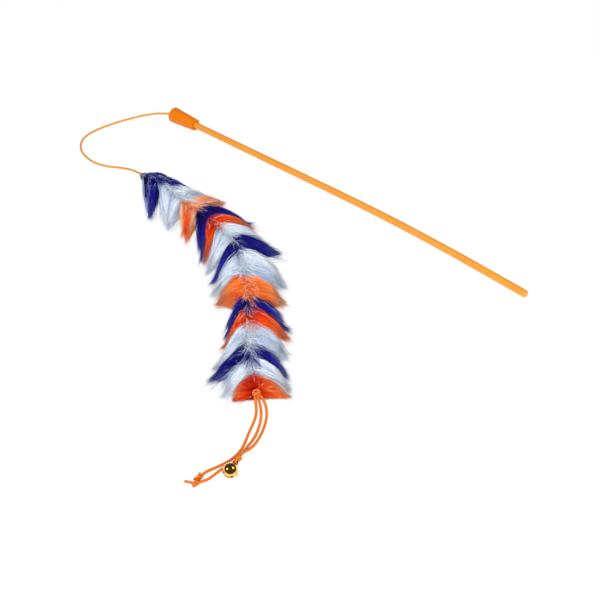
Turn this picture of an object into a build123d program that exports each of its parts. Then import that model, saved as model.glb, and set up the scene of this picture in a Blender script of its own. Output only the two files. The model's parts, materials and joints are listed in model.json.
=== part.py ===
"""Cat teaser wand: rod, ferrule, lead line, striped fur tail, cord streamers and a jingle bell.

It lies on the floor at z = 0. X runs along the wand from the ferrule to the grip end, and Z is up.
"""

import os
from math import atan, cos, degrees, radians, sin, tan

from build123d import *

# Wand rod, with the slight bend that it has taken in use
rod_radius = 3.0
rod_exposed_length = 359.0
rod_end_round = 2.2
rod_bend_to_tip = 119.0
rod_bend_angle = 5.2
rod_bend_radius = 1600.0
spigot_radius = 2.4
spigot_chamfer = 0.5

# Tip ferrule
ferrule_length = 30.0
ferrule_wide_radius = 7.5
ferrule_narrow_radius = 5.5
ferrule_wide_round = 1.4
ferrule_narrow_round = 0.5
ferrule_end_wall = 3.0
knot_chamber_length = 7.0
spigot_clearance = 0.05
line_hole_clearance = 0.15
line_hole_mouth = 0.7

# Cords, and the gap that lets a cord's end turn in front of what it hangs from
line_radius = 0.95
streamer_radius = 0.95
core_radius = 1.0
root_cord_radius = 1.3
swing_gap = 0.3
cord_arc_share = 0.45

# Knots are wraps of their cord, in shares of the cord's radius
knot_wraps = 3
bell_knot_wraps = 2
knot_pitch_share = 1.6
knot_waist_share = 1.5
knot_crown_share = 2.2
left_stub_length = 5.0
left_stub_turn = -10.0
middle_stub_length = 7.4
middle_stub_turn = -38.0

# Fur tail: where it starts, how its path runs, and its pile
tail_start_x = 51.0
tail_start_y = -89.5
tail_heading = -6.5
tail_turn = -39.5
tail_first_run = 148.0
tail_second_run = 138.0
tail_bend_radius = 150.0
core_height = 10.0
backing_radius = 4.0
backing_clearance = 0.3
fur_clearance = 0.3
fur_half_width = 26.0
fur_height = 26.0
fur_top_sweep = 34.0
fur_sweep = 20.0
fur_root_share = 0.86
fur_top_width_share = 0.4
fur_top_height_share = 0.62
fur_shoulder_across_share = 0.6
fur_shoulder_up_share = 0.67
# Each band's front along the tail, then its reach on the rod's side and on the outer side
fur_band_shares = [
    (0.000, 0.85, 0.92),
    (0.120, 0.98, 0.82),
    (0.235, 1.18, 0.86),
    (0.300, 1.16, 0.98),
    (0.360, 1.12, 0.92),
    (0.420, 1.20, 1.00),
    (0.490, 1.32, 1.08),
    (0.570, 1.15, 0.96),
    (0.640, 0.92, 1.00),
    (0.728, 1.04, 0.82),
    (0.778, 0.92, 0.86),
    (0.840, 0.88, 1.02),
    (0.895, 0.86, 1.26),
    (0.945, 0.90, 0.92),
    (0.972, 0.94, 0.78),
]

# Jingle bell
bell_radius = 5.0
bell_wall = 0.4
bell_lip_width = 0.7
bell_lip_wall = 0.3
bell_seam_clearance = 0.04
bell_slot_width = 0.9
bell_slot_hole_radius = 0.8
bell_slot_reach = 3.2
eye_radius = 1.6
eye_wire_radius = 0.4
eye_rise = 0.9
bell_loop_radius = 0.75
pellet_radius = 1.5
pellet_clearance = 0.15

cut_overrun = 2.0

# Cord routes. The line's points are measured from the ferrule's end, on the floor, and the streamers'
# from the root knot. Their heights are above the floor.
line_route = [
    (-13, -6, 6.7),
    (-23.5, -16, 5.2),
    (-31.5, -27, 3.6),
    (-38.5, -38.5, 2.2),
    (-43.5, -51.5, 1.4),
    (-46, -64.5, 1.1),
    (-45, -76, 1.0),
    (-39.5, -85, 1.0),
    (-31.5, -91.5, 1.0),
    (-22, -95.5, 1.0),
    (-11, -97.5, 1.1),
    (0.5, -97, 1.4),
    (11, -94, 2.0),
    (21, -90.5, 3.6),
    (31, -88.5, 5.8),
    (41, -88, 8.0),
]
left_route = [
    (6.3, -7.2, 6.4),
    (9.3, -11.2, 3.8),
    (11.0, -15.6, 2.0),
    (12.5, -20.4, 1.2),
    (14.4, -25.2, 1.0),
    (16.7, -30.2, 1.0),
    (18.5, -35.4, 1.0),
    (19.3, -41.0, 1.0),
    (18.9, -46.6, 1.0),
    (17.8, -51.6, 1.0),
    (16.0, -56.6, 1.0),
    (14.7, -61.0, 1.3),
]
left_end = [(14.2, -63.8), (14.1, -66.4)]
middle_route = [
    (8.4, -5.2, 6.8),
    (12.2, -9.0, 4.6),
    (15.0, -13.4, 2.6),
    (17.0, -18.2, 1.3),
    (18.8, -23.2, 1.0),
    (19.9, -28.4, 1.2),
    (20.7, -33.6, 1.9),
    (21.5, -39.0, 1.6),
    (21.9, -44.6, 1.0),
    (21.2, -50.2, 1.0),
    (19.8, -55.4, 1.0),
    (19.5, -60.8, 1.0),
    (19.1, -65.8, 1.3),
]
middle_end = [(18.3, -69.8), (16.9, -72.6)]
bell_route = [
    (8.0, -1.0, 7.8),
    (11.4, -2.9, 5.6),
    (14.4, -6.0, 3.4),
    (16.8, -9.9, 1.8),
    (18.8, -14.2, 1.1),
    (20.6, -18.9, 1.0),
    (22.0, -23.8, 1.0),
    (22.9, -28.6, 1.3),
    (23.2, -32.6, 2.4),
    (23.1, -36.2, 4.0),
]
bell_end = [(22.9, -39.4), (23.6, -42.6)]
left_start_heading = -62.0
middle_start_heading = -32.0
bell_start_heading = -2.0

upright = Axis.Z.direction


def heading_vector(heading):
    """Unit vector on the floor, heading degrees round from +X."""
    return Vector(cos(radians(heading)), sin(radians(heading)), 0)


def cord_tube(name, points, radius):
    """Tube along straight runs joined by arcs that are as large as the runs allow."""
    corners = [Vector(*point) for point in points]
    runs = [after - before for before, after in zip(corners, corners[1:])]
    bends = []
    for before, after in zip(runs, runs[1:]):
        half_turn = radians(before.get_angle(after)) / 2
        bends.append(cord_arc_share * min(before.length, after.length) / tan(half_turn))
    path = FilletPolyline(*corners, radius=bends)
    section = Plane(corners[0], z_dir=runs[0]) * Circle(radius)
    tube = sweep(section, path=path)
    swept = tube.volume / (section.area * path.length)
    print(name, "length", round(path.length, 1), "volume ratio", round(swept, 4))
    print("  radii", [round(bend, 1) for bend in bends])
    return tube


def knot(cord_radius, wraps):
    """Wraps of a cord, stacked up Z from the origin."""
    pitch = cord_radius * knot_pitch_share
    waist = cord_radius * knot_waist_share
    crown = cord_radius * knot_crown_share
    rims = [Vector(waist, 0, pitch * turn) for turn in range(wraps + 1)]
    outline = []
    for below, above in zip(rims, rims[1:]):
        middle = (below + above) / 2
        outline.append(ThreePointArc(below, Vector(crown, 0, middle.Z), above))
    outline.append(Polyline(rims[-1], (0, 0, rims[-1].Z), (0, 0, 0), rims[0]))
    return revolve(make_face(outline), Axis.Z)


def end_knot(points, stub_length, stub_turn):
    """Knot past the end of a streamer, in line with its last run, and the cut end that leaves it."""
    start = Vector(*points[-1])
    along = (start - Vector(*points[-2])).normalized()
    wraps = Plane(start, z_dir=along) * knot(streamer_radius, knot_wraps)
    middle = start + along * (streamer_radius * knot_pitch_share * knot_wraps / 2)
    stub_plane = Plane(middle, z_dir=along.rotate(Axis.Z, stub_turn))
    stub = extrude(stub_plane * Circle(streamer_radius), amount=stub_length)
    return wraps + stub


# Wand rod, along X from the ferrule's wide face and then round its bend to the grip end
rod_start = ferrule_length
rod_foot = Vector(rod_start, 0, 0)
rod_corner = Vector(rod_start + rod_exposed_length - rod_bend_to_tip, 0, 0)
grip_heading = heading_vector(-rod_bend_angle)
rod_tip = rod_corner + grip_heading * rod_bend_to_tip
rod_path = FilletPolyline(rod_foot, rod_corner, rod_tip, radius=rod_bend_radius)
rod_plane = Plane.YZ.offset(rod_start)
rod_bar = sweep(rod_plane * Circle(rod_radius), path=rod_path)
rod_rims = rod_bar.edges().filter_by(GeomType.CIRCLE).sort_by(Axis.X)
rod_bar = fillet(rod_rims[-1], rod_end_round)
spigot_length = ferrule_length - ferrule_end_wall - knot_chamber_length
spigot = extrude(rod_plane * Circle(spigot_radius), amount=-spigot_length)
spigot = chamfer(spigot.edges().sort_by(Axis.X)[0], spigot_chamfer)
wand_rod = rod_bar + spigot

# Tip ferrule, wide end outward, with a blind bore for the spigot and a hole for the line
ferrule_cone = loft(
    [
        Plane.YZ * Circle(ferrule_wide_radius),
        Plane.YZ.offset(ferrule_length) * Circle(ferrule_narrow_radius),
    ]
)
ferrule_rims = ferrule_cone.edges().filter_by(GeomType.CIRCLE).sort_by(Axis.X)
ferrule_cone = fillet(ferrule_rims[0], ferrule_wide_round)
ferrule_rims = ferrule_cone.edges().filter_by(GeomType.CIRCLE).sort_by(Axis.X)
ferrule_cone = fillet(ferrule_rims[-1], ferrule_narrow_round)
bore_radius = spigot_radius + spigot_clearance
bore_depth = ferrule_length - ferrule_end_wall
ferrule_bore = extrude(Plane.YZ.offset(ferrule_end_wall) * Circle(bore_radius), amount=bore_depth)
hole_radius = line_radius + line_hole_clearance
line_hole = extrude(Plane.YZ * Circle(hole_radius), amount=ferrule_end_wall)
mouth = loft(
    [
        Plane.YZ * Circle(hole_radius + line_hole_mouth),
        Plane.YZ.offset(line_hole_mouth) * Circle(hole_radius),
    ]
)
tip_ferrule = ferrule_cone - ferrule_bore - line_hole - mouth

# Stop knot in the ferrule's chamber, with the line's last stretch through the hole
line_stub = extrude(Plane.YZ * Circle(line_radius), amount=ferrule_end_wall)
line_stop_knot = Plane.YZ.offset(ferrule_end_wall) * knot(line_radius, knot_wraps) + line_stub

# The wand lies on the ferrule's rim and on the grip end, so it tilts a little, with both ends on X
rim_place = ferrule_wide_round
tip_place = rod_tip.length - rod_end_round
wand_tilt = atan((ferrule_wide_radius - rod_radius) / (tip_place - rim_place))
wand_turn = atan(-rod_tip.Y / rod_tip.X)
wand_laid = Rot(0, degrees(wand_tilt), 0) * Rot(0, 0, degrees(wand_turn))
wand_lift = -min((wand_laid * piece).bounding_box().min.Z for piece in (wand_rod, tip_ferrule))
wand_place = Pos(0, 0, wand_lift) * wand_laid
wand_exit = Vector(0, 0, wand_lift)


def wand_vector(turn):
    """Direction in the wand's sloping plane, at an angle from the line between its ends."""
    level = cos(turn)
    return Vector(level * cos(wand_tilt), sin(turn), -level * sin(wand_tilt))


wand_along = wand_vector(wand_turn)
grip_along = wand_vector(wand_turn - radians(rod_bend_angle))
bend_setback = rod_bend_radius * tan(radians(rod_bend_angle) / 2)
grip_length = rod_bend_to_tip - bend_setback - rod_end_round
grip_place = rod_tip - grip_heading * (rod_end_round + grip_length / 2)
grip_middle = (wand_place * Pos(*grip_place)).position

# Lead line, from just outside the ferrule to the tail's tie knot, with a round end at each turning point
line_pivot = wand_exit - wand_along * (line_radius + swing_gap)
tail_pivot = Vector(tail_start_x, tail_start_y, core_height)
line_tube = cord_tube("lead_line", [line_pivot, *line_route, tail_pivot], line_radius)
line_ends = [Pos(*place) * Sphere(line_radius) for place in (line_pivot, tail_pivot)]
lead_line = line_tube + line_ends

# The tail's path: two straight runs and the bend between them
tail_out = heading_vector(tail_heading)
tail_away = heading_vector(tail_heading + tail_turn)
tail_corner = tail_pivot + tail_out * tail_first_run
tail_end = tail_corner + tail_away * tail_second_run


def tail_wire(cut_from_start, past_end):
    """The tail's path, shortened at its start and carried on past its end."""
    start = tail_pivot + tail_out * cut_from_start
    end = tail_end + tail_away * past_end
    return FilletPolyline(start, tail_corner, end, radius=tail_bend_radius)


def tail_tube(radius, cut_from_start, past_end):
    """Round bar along the tail's path."""
    wire = tail_wire(cut_from_start, past_end)
    section = Plane(wire @ 0, z_dir=tail_out) * Circle(radius)
    return sweep(section, path=wire)


tail_path = tail_wire(0, 0)
tail_length = tail_path.length


def tail_floor(distance):
    """The floor point and the direction at a distance along the tail."""
    share = distance / tail_length
    point = tail_path @ share
    return Vector(point.X, point.Y, 0), tail_path % share


# Tie knot, core cord and the fabric tube round it
tie_start = line_radius + swing_gap
tie_plane = Plane(tail_pivot + tail_out * tie_start, z_dir=tail_out)
tail_tie_knot = tie_plane * knot(line_radius, knot_wraps)
core_start = tie_start + line_radius * knot_pitch_share * knot_wraps
core_cord = tail_tube(core_radius, core_start, 0)
backing_bore = tail_tube(core_radius + backing_clearance, core_start - cut_overrun, cut_overrun)
fur_backing = tail_tube(backing_radius, core_start, 0) - backing_bore

# Fur pile: each stripe is a tier that flares to its tips, with a front swept back like a chevron
fur_bore = tail_tube(backing_radius + fur_clearance, -cut_overrun, cut_overrun)
fur_reach = fur_half_width * max(max(band[1:]) for band in fur_band_shares)


def fur_section(distance, rod_side, outer_side, height):
    """Flat-bottomed section of the pile with a parting along its top."""
    origin, along = tail_floor(distance)
    plane = Plane(origin, x_dir=upright.cross(along), z_dir=along)
    crown = (0, height)
    shoulder_height = height * fur_shoulder_up_share
    rod_shoulder = (rod_side * fur_shoulder_across_share, shoulder_height)
    outer_shoulder = (-outer_side * fur_shoulder_across_share, shoulder_height)
    outline = [
        ThreePointArc((rod_side, 0), rod_shoulder, crown),
        ThreePointArc(crown, outer_shoulder, (-outer_side, 0)),
        Line((-outer_side, 0), (rod_side, 0)),
    ]
    return plane * make_face(outline)


def fur_front(distance, sweep_back):
    """Upright block of all that lies behind a chevron at this distance along the tail."""
    origin, along = tail_floor(distance)
    reach = fur_reach + cut_overrun
    arm = sweep_back * reach / fur_half_width
    far = arm + tail_length
    outline = [(0, 0), (arm, reach), (far, reach), (far, -reach), (arm, -reach)]
    floor = Plane(origin, x_dir=along, z_dir=upright)
    return extrude(floor * make_face(Polyline(*outline, close=True)), amount=fur_height + cut_overrun)


fur_fronts = []
for index, (front_share, rod_share, outer_share) in enumerate(fur_band_shares):
    sweep_back = fur_sweep if index else fur_top_sweep
    fur_fronts.append(fur_front(front_share * tail_length, sweep_back))

fur_bands = {}
for index, (front_share, rod_share, outer_share) in enumerate(fur_band_shares):
    is_last = index == len(fur_band_shares) - 1
    front = front_share * tail_length
    next_front = tail_length if is_last else fur_band_shares[index + 1][0] * tail_length
    tips = min(next_front + fur_sweep * max(rod_share, outer_share), tail_length)
    width_share = fur_root_share if index else fur_top_width_share
    height_share = fur_root_share if index else fur_top_height_share
    rod_side = fur_half_width * rod_share
    outer_side = fur_half_width * outer_share
    root_height = fur_height * height_share
    roots = fur_section(front, rod_side * width_share, outer_side * width_share, root_height)
    tier = loft([roots, fur_section(tips, rod_side, outer_side, fur_height)], ruled=True)
    band = tier & fur_fronts[index]
    if not is_last:
        band -= fur_fronts[index + 1]
    fur_bands[f"fur_band_{index + 1:02d}"] = band - fur_bore

# Root knot, upright in front of the core cord's end
root_crown = root_cord_radius * knot_crown_share
root_knot_height = root_cord_radius * knot_pitch_share * knot_wraps
root_pivot = tail_end + tail_away * (root_crown + swing_gap)
root_base = root_pivot - upright * (root_knot_height / 2)
root_knot = Pos(*root_base) * knot(root_cord_radius, knot_wraps)

# Streamers, from just outside the root knot
knot_rest = streamer_radius * knot_crown_share
bell_rest = bell_radius + bell_lip_wall + bell_seam_clearance
streamer_start = root_crown + swing_gap + streamer_radius


def streamer_points(start_heading, route, end, end_height):
    """Whole route of a streamer, with its last run level at the height of the knot that it meets."""
    floor = Vector(root_pivot.X, root_pivot.Y, 0)
    start = root_pivot + heading_vector(start_heading) * streamer_start
    inner = [floor + Vector(*point) for point in route]
    last = [floor + Vector(x, y, end_height) for x, y in end]
    return [start, *inner, *last]


left_points = streamer_points(left_start_heading, left_route, left_end, knot_rest)
middle_points = streamer_points(middle_start_heading, middle_route, middle_end, knot_rest)
bell_points = streamer_points(bell_start_heading, bell_route, bell_end, bell_rest)
left_streamer = cord_tube("left_streamer", left_points, streamer_radius)
middle_streamer = cord_tube("middle_streamer", middle_points, streamer_radius)
bell_streamer = cord_tube("bell_streamer", bell_points, streamer_radius)
left_end_knot = end_knot(left_points, left_stub_length, left_stub_turn)
middle_end_knot = end_knot(middle_points, middle_stub_length, middle_stub_turn)

# Bell, modelled round its own centre with its eye towards +Z, then laid on its side
bell_inner = bell_radius - bell_wall
lip_inner = bell_radius + bell_seam_clearance
lip_outer = lip_inner + bell_lip_wall
bell_cup = Sphere(bell_radius) - Sphere(bell_inner)
upper_half = extrude(Plane.XY * Circle(lip_outer), amount=lip_outer)
lower_half = extrude(Plane.XY * Circle(lip_outer), amount=-lip_outer)
lip_ring = Plane.XY * (Circle(lip_outer) - Circle(lip_inner))
lip_band = extrude(lip_ring, amount=-bell_lip_width)
shoulder_ring = Plane.XY * (Circle(lip_outer) - Circle(bell_inner))
lip_shoulder = extrude(shoulder_ring, amount=bell_lip_wall) - Sphere(bell_inner)
bell_upper_shell = (bell_cup & upper_half) + lip_shoulder + lip_band
slot_plane = Plane.XY.offset(-bell_radius)
slot = extrude(slot_plane * Rectangle(bell_slot_reach * 2, bell_slot_width), amount=bell_radius)
slot_hole = extrude(slot_plane * Circle(bell_slot_hole_radius), amount=bell_radius)
slot_holes = [Pos(side * bell_slot_reach, 0, 0) * slot_hole for side in (-1, 1)]
bell_lower_shell = (bell_cup & lower_half) - slot - slot_holes
eye_place = bell_radius + eye_rise
eye_ring = Plane.XZ * Torus(eye_radius, eye_wire_radius)
bell_eye = Pos(0, 0, eye_place) * eye_ring - Sphere(bell_radius)
bell_pellet = Sphere(pellet_radius)

# Bell knot in line with the streamer's last run, and its loop through the eye
bell_start = bell_points[-1]
bell_along = (bell_start - bell_points[-2]).normalized()
bell_knot_length = streamer_radius * knot_pitch_share * bell_knot_wraps
loop_centre = bell_start + bell_along * (bell_knot_length + eye_wire_radius + swing_gap)
eye_centre = loop_centre + bell_along * eye_radius
bell_centre = eye_centre + bell_along * eye_place
bell_across = upright.cross(bell_along)
knot_wrapped = Plane(bell_start, z_dir=bell_along) * knot(streamer_radius, bell_knot_wraps)
bell_loop = Plane(loop_centre, z_dir=bell_across) * Torus(eye_radius, bell_loop_radius)
bell_knot = knot_wrapped + bell_loop
bell_place = Plane(bell_centre, x_dir=bell_across, z_dir=-bell_along)
pellet_drop = bell_inner - pellet_radius - pellet_clearance
pellet_place = bell_centre - upright * pellet_drop

pieces = {
    "wand_rod": wand_place * wand_rod,
    "tip_ferrule": wand_place * tip_ferrule,
    "line_stop_knot": wand_place * line_stop_knot,
    "lead_line": lead_line,
    "tail_tie_knot": tail_tie_knot,
    "core_cord": core_cord,
    "fur_backing": fur_backing,
    **fur_bands,
    "root_knot": root_knot,
    "left_streamer": left_streamer,
    "middle_streamer": middle_streamer,
    "bell_streamer": bell_streamer,
    "left_end_knot": left_end_knot,
    "middle_end_knot": middle_end_knot,
    "bell_knot": bell_knot,
    "bell_upper_shell": bell_place * bell_upper_shell,
    "bell_lower_shell": bell_place * bell_lower_shell,
    "bell_eye": bell_place * bell_eye,
    "bell_pellet": Pos(*pellet_place) * bell_pellet,
}

# The origin is under the middle of the wand and the tail, without the cords
body_names = ["wand_rod", "tip_ferrule", "fur_backing", "root_knot", *fur_bands]
body_box = Compound([pieces[name] for name in body_names]).bounding_box()
origin = Vector(body_box.center().X, body_box.center().Y, body_box.min.Z)
pivots = {
    "line_pivot": line_pivot - origin,
    "tail_pivot": tail_pivot - origin,
    "root_pivot": root_pivot - origin,
    "eye_centre": eye_centre - origin,
    "bell_centre": bell_centre - origin,
    "grip_middle": grip_middle - origin,
}
for name, place in pivots.items():
    print(name, [round(value, 3) for value in place])

os.makedirs("parts", exist_ok=True)
for name, piece in pieces.items():
    export_step(Pos(*-origin) * piece, f"parts/{name}.step")
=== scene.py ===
import bpy
import json
import math
import numpy as np
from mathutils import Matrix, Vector


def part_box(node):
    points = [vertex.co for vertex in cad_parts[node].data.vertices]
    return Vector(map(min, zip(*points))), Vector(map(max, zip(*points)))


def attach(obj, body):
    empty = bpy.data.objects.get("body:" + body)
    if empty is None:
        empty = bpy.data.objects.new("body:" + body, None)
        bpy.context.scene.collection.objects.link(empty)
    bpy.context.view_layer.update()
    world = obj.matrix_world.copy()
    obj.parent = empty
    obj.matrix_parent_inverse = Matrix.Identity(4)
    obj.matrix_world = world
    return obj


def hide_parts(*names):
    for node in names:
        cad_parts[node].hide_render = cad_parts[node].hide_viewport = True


# Cat teaser wand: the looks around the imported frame. Lengths are in metres, and a value times mm is in
# millimetres
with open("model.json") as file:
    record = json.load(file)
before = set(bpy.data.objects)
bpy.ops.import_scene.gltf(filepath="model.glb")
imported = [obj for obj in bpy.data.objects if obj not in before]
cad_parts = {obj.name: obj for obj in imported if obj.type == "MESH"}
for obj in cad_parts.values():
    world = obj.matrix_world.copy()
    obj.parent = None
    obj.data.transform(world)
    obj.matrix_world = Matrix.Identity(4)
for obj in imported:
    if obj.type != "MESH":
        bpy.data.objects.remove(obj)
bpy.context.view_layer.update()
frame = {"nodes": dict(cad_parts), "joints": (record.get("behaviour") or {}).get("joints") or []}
nodes = frame["nodes"]
scene = bpy.context.scene
mm = 0.001
jointPlace = {joint["name"]: np.array(joint["pos_m"], float) for joint in frame["joints"]}
upward = np.array([0.0, 0.0, 1.0])
# The tail in mm and degrees: its start in the layout, whose origin is on the floor under the ferrule's wide
# face, the heading that it starts with, and the turn that it makes over its bend
tail = {"start": (51.0, -89.5, 10.0), "heading": -6.5, "turn": -39.5, "bendStart": 94.1, "bendLength": 103.4}
tailStart = jointPlace["tail_swing"]
layoutOrigin = tailStart - np.array(tail["start"]) * mm
rootPlace = jointPlace["streamer_swing"]
print("frame loaded")


# Small helpers: colours, shader nodes and meshes from whole arrays
def unit(vector):
    return vector / np.linalg.norm(vector)


def hexColour(text):
    srgb = np.array([int(text[i:i + 2], 16) for i in (1, 3, 5)]) / 255
    linear = np.where(srgb <= 0.04045, srgb / 12.92, ((srgb + 0.055) / 1.055) ** 2.4)
    return (*linear.tolist(), 1.0)


def addNode(tree, kind, settings, links=()):
    # A setting is a value of the node itself, the value of an input, or the stops of a colour ramp
    node = tree.nodes.new("ShaderNode" + kind)
    for name, value in settings.items():
        if name == "stops":
            elements = node.color_ramp.elements
            while len(elements) < len(value):
                elements.new(0.5)
            for element, (place, colour) in zip(elements, value):
                element.position = place
                element.color = hexColour(colour)
        elif isinstance(name, str) and hasattr(node, name):
            setattr(node, name, value)
        else:
            node.inputs[name].default_value = value
    for name, socket in links:
        tree.links.new(socket, node.inputs[name])
    return node


def newMaterial(name, settings):
    material = bpy.data.materials.new(name)
    material.use_nodes = True
    shader = material.node_tree.nodes["Principled BSDF"]
    for socket, value in settings.items():
        shader.inputs[socket].default_value = value
    return material, material.node_tree, shader


def newMesh(name, points, faces, faceUv=None, uvName="UVMap"):
    mesh = bpy.data.meshes.new(name)
    sizes = np.concatenate([np.full(len(group), group.shape[1]) for group in faces])
    corners = np.concatenate([group.ravel() for group in faces])
    mesh.vertices.add(len(points))
    mesh.vertices.foreach_set("co", np.asarray(points, np.float32).ravel())
    mesh.loops.add(len(corners))
    mesh.loops.foreach_set("vertex_index", corners.astype(np.int32))
    mesh.polygons.add(len(sizes))
    mesh.polygons.foreach_set("loop_start", np.concatenate([[0], np.cumsum(sizes)[:-1]]).astype(np.int32))
    mesh.polygons.foreach_set("use_smooth", np.ones(len(sizes), bool))
    mesh.update(calc_edges=True)
    if faceUv is not None:
        layer = mesh.uv_layers.new(name=uvName)
        layer.data.foreach_set("uv", np.asarray(faceUv, np.float32).ravel())
    mesh.validate()
    return mesh


def addPiece(name, mesh, material, body, replaced):
    piece = bpy.data.objects.new(name, mesh)
    scene.collection.objects.link(piece)
    mesh.materials.append(material)
    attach(piece, body)
    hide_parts(*replaced)
    return piece


# Materials. A texture's scale is in features per metre
def plasticMaterial(name, dark, light, gloss):
    # Extruded or moulded plastic: one even colour with a faint cloud about 17 mm wide, and a grain of about
    # 0.5 mm that softens the highlight
    cloudScale, grainScale, grainDepth = 60.0, 2200.0, 0.05 * mm
    material, tree, shader = newMaterial(name, {"Roughness": 0.32, "Specular IOR Level": gloss})
    place = addNode(tree, "TexCoord", {}).outputs["Object"]
    cloud = addNode(tree, "TexNoise", {"Scale": cloudScale, "Detail": 3.0}, [("Vector", place)])
    stops = [(0.3, dark), (0.7, light)]
    colour = addNode(tree, "ValToRGB", {"stops": stops}, [("Fac", cloud.outputs["Fac"])])
    tree.links.new(colour.outputs["Color"], shader.inputs["Base Color"])
    grain = addNode(tree, "TexNoise", {"Scale": grainScale, "Detail": 2.0}, [("Vector", place)])
    bump = addNode(tree, "Bump", {"Strength": 0.06, "Distance": grainDepth}, [
        ("Height", grain.outputs["Fac"]),
    ])
    tree.links.new(bump.outputs["Normal"], shader.inputs["Normal"])
    return material


# Length of one braid pattern along a cord, in mm: coarser than the real braid, so that it shows
braidPitch = 2.0


def cordMaterial(name, dark, light):
    # Braided polyester cord: slanting yarns, with painted shade in the gaps between them. They are two sets of
    # ridges, sin(2 pi (yarns v + u)) and sin(2 pi (yarns v - u)), with u in pitches along the cord and v once
    # around it
    yarns, yarnDepth = 4, 0.12 * mm
    material, tree, shader = newMaterial(name, {"Roughness": 0.42, "Specular IOR Level": 0.3})
    uv = addNode(tree, "TexCoord", {}).outputs["UV"]
    split = addNode(tree, "SeparateXYZ", {}, [("Vector", uv)])
    turn = addNode(tree, "Math", {"operation": "MULTIPLY", 1: yarns * math.tau}, [(0, split.outputs["Y"])])
    pitch = addNode(tree, "Math", {"operation": "MULTIPLY", 1: math.tau}, [(0, split.outputs["X"])])
    ridges = []
    for operation in ("ADD", "SUBTRACT"):
        angle = addNode(tree, "Math", {"operation": operation}, [(0, turn.outputs[0]), (1, pitch.outputs[0])])
        ridges.append(addNode(tree, "Math", {"operation": "SINE"}, [(0, angle.outputs[0])]).outputs[0])
    braid = addNode(tree, "Math", {"operation": "MAXIMUM"}, [(0, ridges[0]), (1, ridges[1])])
    share = addNode(tree, "MapRange", {"From Min": -1.0, "From Max": 1.0}, [("Value", braid.outputs[0])])
    # Colour runs from dark in the gaps, which is painted shade, to the yarns' own colour on the ridges
    stops = [(0.1, dark), (0.8, light)]
    colour = addNode(tree, "ValToRGB", {"stops": stops}, [("Fac", share.outputs["Result"])])
    tree.links.new(colour.outputs["Color"], shader.inputs["Base Color"])
    bump = addNode(tree, "Bump", {"Strength": 0.5, "Distance": yarnDepth}, [
        ("Height", share.outputs["Result"]),
    ])
    tree.links.new(bump.outputs["Normal"], shader.inputs["Normal"])
    return material


toneColumns = 64
paleColumns = 4


def furMaterial(name, shadedRootToLitTip, tones, pale):
    # Dyed acrylic pile: dull strands. Most dyes run dark at the root, which is painted shade deep in the pile,
    # and all run pale at the tip, which is painted light through the thin tips, so that the locks stand out.
    # A strand's u is its tone column and v runs from root to tip; the last columns are pale guard hairs
    material, tree, shader = newMaterial(name, {"Roughness": 0.6, "Specular IOR Level": 0.15})
    uv = addNode(tree, "TexCoord", {}).outputs["UV"]
    split = addNode(tree, "SeparateXYZ", {}, [("Vector", uv)])
    run = addNode(tree, "ValToRGB", {"stops": shadedRootToLitTip}, [("Fac", split.outputs["Y"])])
    tone = addNode(tree, "ValToRGB", {"stops": tones}, [("Fac", split.outputs["X"])])
    dyed = addNode(tree, "MixRGB", {"blend_type": "MULTIPLY", "Fac": 1.0}, [
        ("Color1", run.outputs["Color"]), ("Color2", tone.outputs["Color"]),
    ])
    limit = 1 - paleColumns / toneColumns
    guard = addNode(tree, "Math", {"operation": "GREATER_THAN", 1: limit}, [(0, split.outputs["X"])])
    colour = addNode(tree, "MixRGB", {"Color2": hexColour(pale)}, [
        ("Fac", guard.outputs[0]), ("Color1", dyed.outputs["Color"]),
    ])
    tree.links.new(colour.outputs["Color"], shader.inputs["Base Color"])
    return material


def metalMaterial(name, light, dark, roughness):
    # Plated or plain metal: it mirrors the studio, with patches about 3 mm wide that are a little duller
    patchScale = 350.0
    material, tree, shader = newMaterial(name, {"Metallic": 1.0})
    place = addNode(tree, "TexCoord", {}).outputs["Object"]
    cloud = addNode(tree, "TexNoise", {"Scale": patchScale, "Detail": 4.0}, [("Vector", place)])
    stops = [(0.35, dark), (0.65, light)]
    colour = addNode(tree, "ValToRGB", {"stops": stops}, [("Fac", cloud.outputs["Fac"])])
    tree.links.new(colour.outputs["Color"], shader.inputs["Base Color"])
    low, high = roughness
    rough = addNode(tree, "MapRange", {"To Min": low, "To Max": high}, [("Value", cloud.outputs["Fac"])])
    tree.links.new(rough.outputs["Result"], shader.inputs["Roughness"])
    return material


def knitMaterial():
    # Knitted polyester backing: dull cloth with stitches about 1 mm wide
    stitchScale, stitchDepth = 1100.0, 0.2 * mm
    material, tree, shader = newMaterial("knittedBacking", {"Roughness": 0.85, "Sheen Weight": 0.3})
    place = addNode(tree, "TexCoord", {}).outputs["Object"]
    stitch = addNode(tree, "TexVoronoi", {"Scale": stitchScale}, [("Vector", place)]).outputs["Distance"]
    stops = [(0.1, "#3a3760"), (0.7, "#15132e")]
    colour = addNode(tree, "ValToRGB", {"stops": stops}, [("Fac", stitch)])
    tree.links.new(colour.outputs["Color"], shader.inputs["Base Color"])
    bump = addNode(tree, "Bump", {"Strength": 0.6, "Distance": stitchDepth}, [("Height", stitch)])
    tree.links.new(bump.outputs["Normal"], shader.inputs["Normal"])
    return material


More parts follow.
